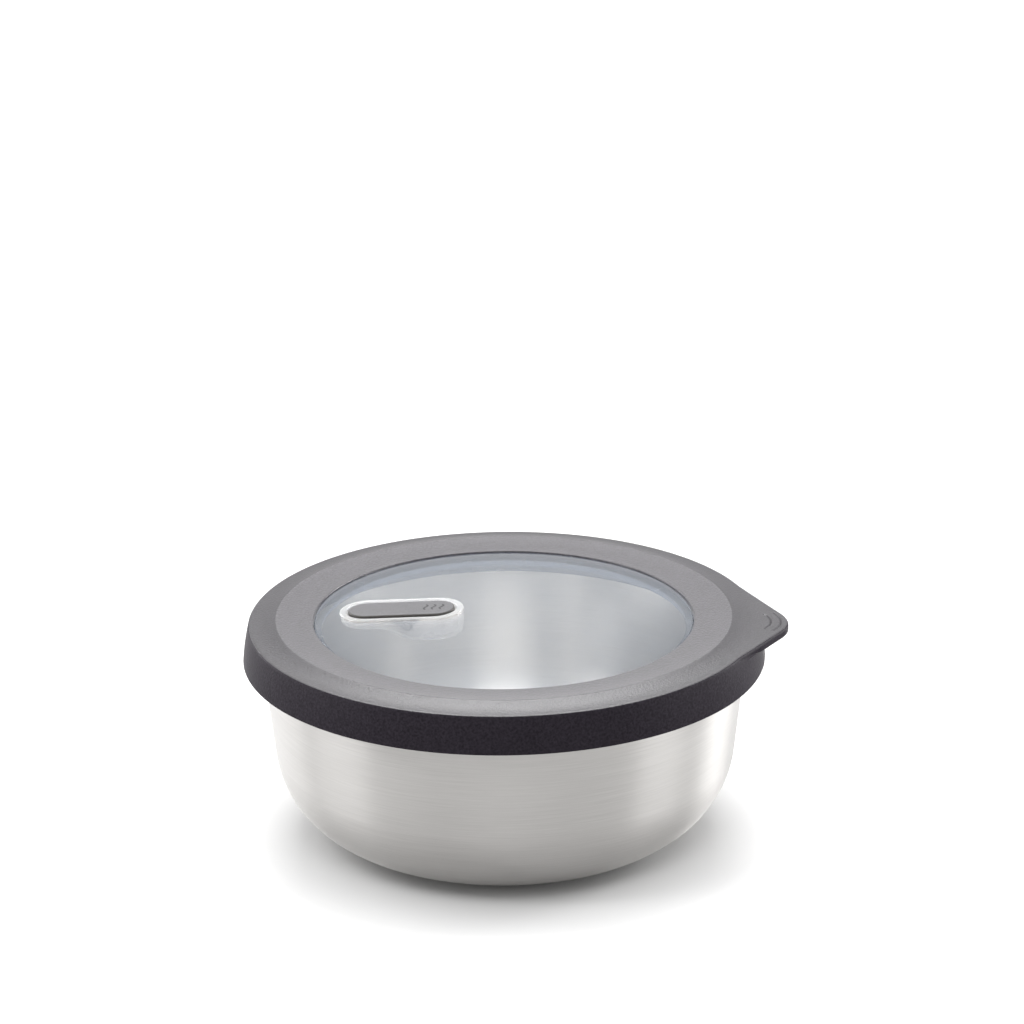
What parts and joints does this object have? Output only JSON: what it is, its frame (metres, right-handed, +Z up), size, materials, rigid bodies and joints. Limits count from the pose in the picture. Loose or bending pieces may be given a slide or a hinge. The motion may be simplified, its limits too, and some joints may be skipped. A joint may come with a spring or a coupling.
{
  "type": "food storage container",
  "caption": "Round steel bowl with a press-on lid: clear window, soft grey ring with a pull tab, and a rocker vent valve in the window.",
  "frame": {"origin": "on the bowl's axis, on the flat base that it stands on", "axes": "+Z up along the bowl's axis, +X towards the lid's pull tab"},
  "size_m": [0.158, 0.1514, 0.0678],
  "materials": {
    "bowl_steel": "brushed round the bowl, satin",
    "window_plastic": "clear, smooth, slightly milky",
    "ring_rubber": "fine moulded grain, matt",
    "seal_silicone": "smooth, matt, translucent",
    "rocker_plastic": "fine moulded grain",
    "pin_steel": "drawn wire"
  },
  "bodies": {
    "bowl": {"bowl": "bowl_steel"},
    "lid": {"lid_window": "window_plastic", "lid_ring": "ring_rubber", "rim_seal": "seal_silicone"},
    "rocker": {"vent_rocker": "rocker_plastic", "vent_plug": "seal_silicone", "vent_pivot_pin": "pin_steel"}
  },
  "joints": [
    {"name": "lid_lift", "type": "slide", "parent": "bowl", "child": "lid", "axis": [0, 0, 1], "range_m": [0, 0.08]},
    {"name": "vent_tilt", "type": "hinge", "parent": "lid", "child": "rocker", "pos_m": [-0.02749, 0, 0.06396], "axis": [0, 1, 0], "range_deg": [0, 18]}
  ]
}
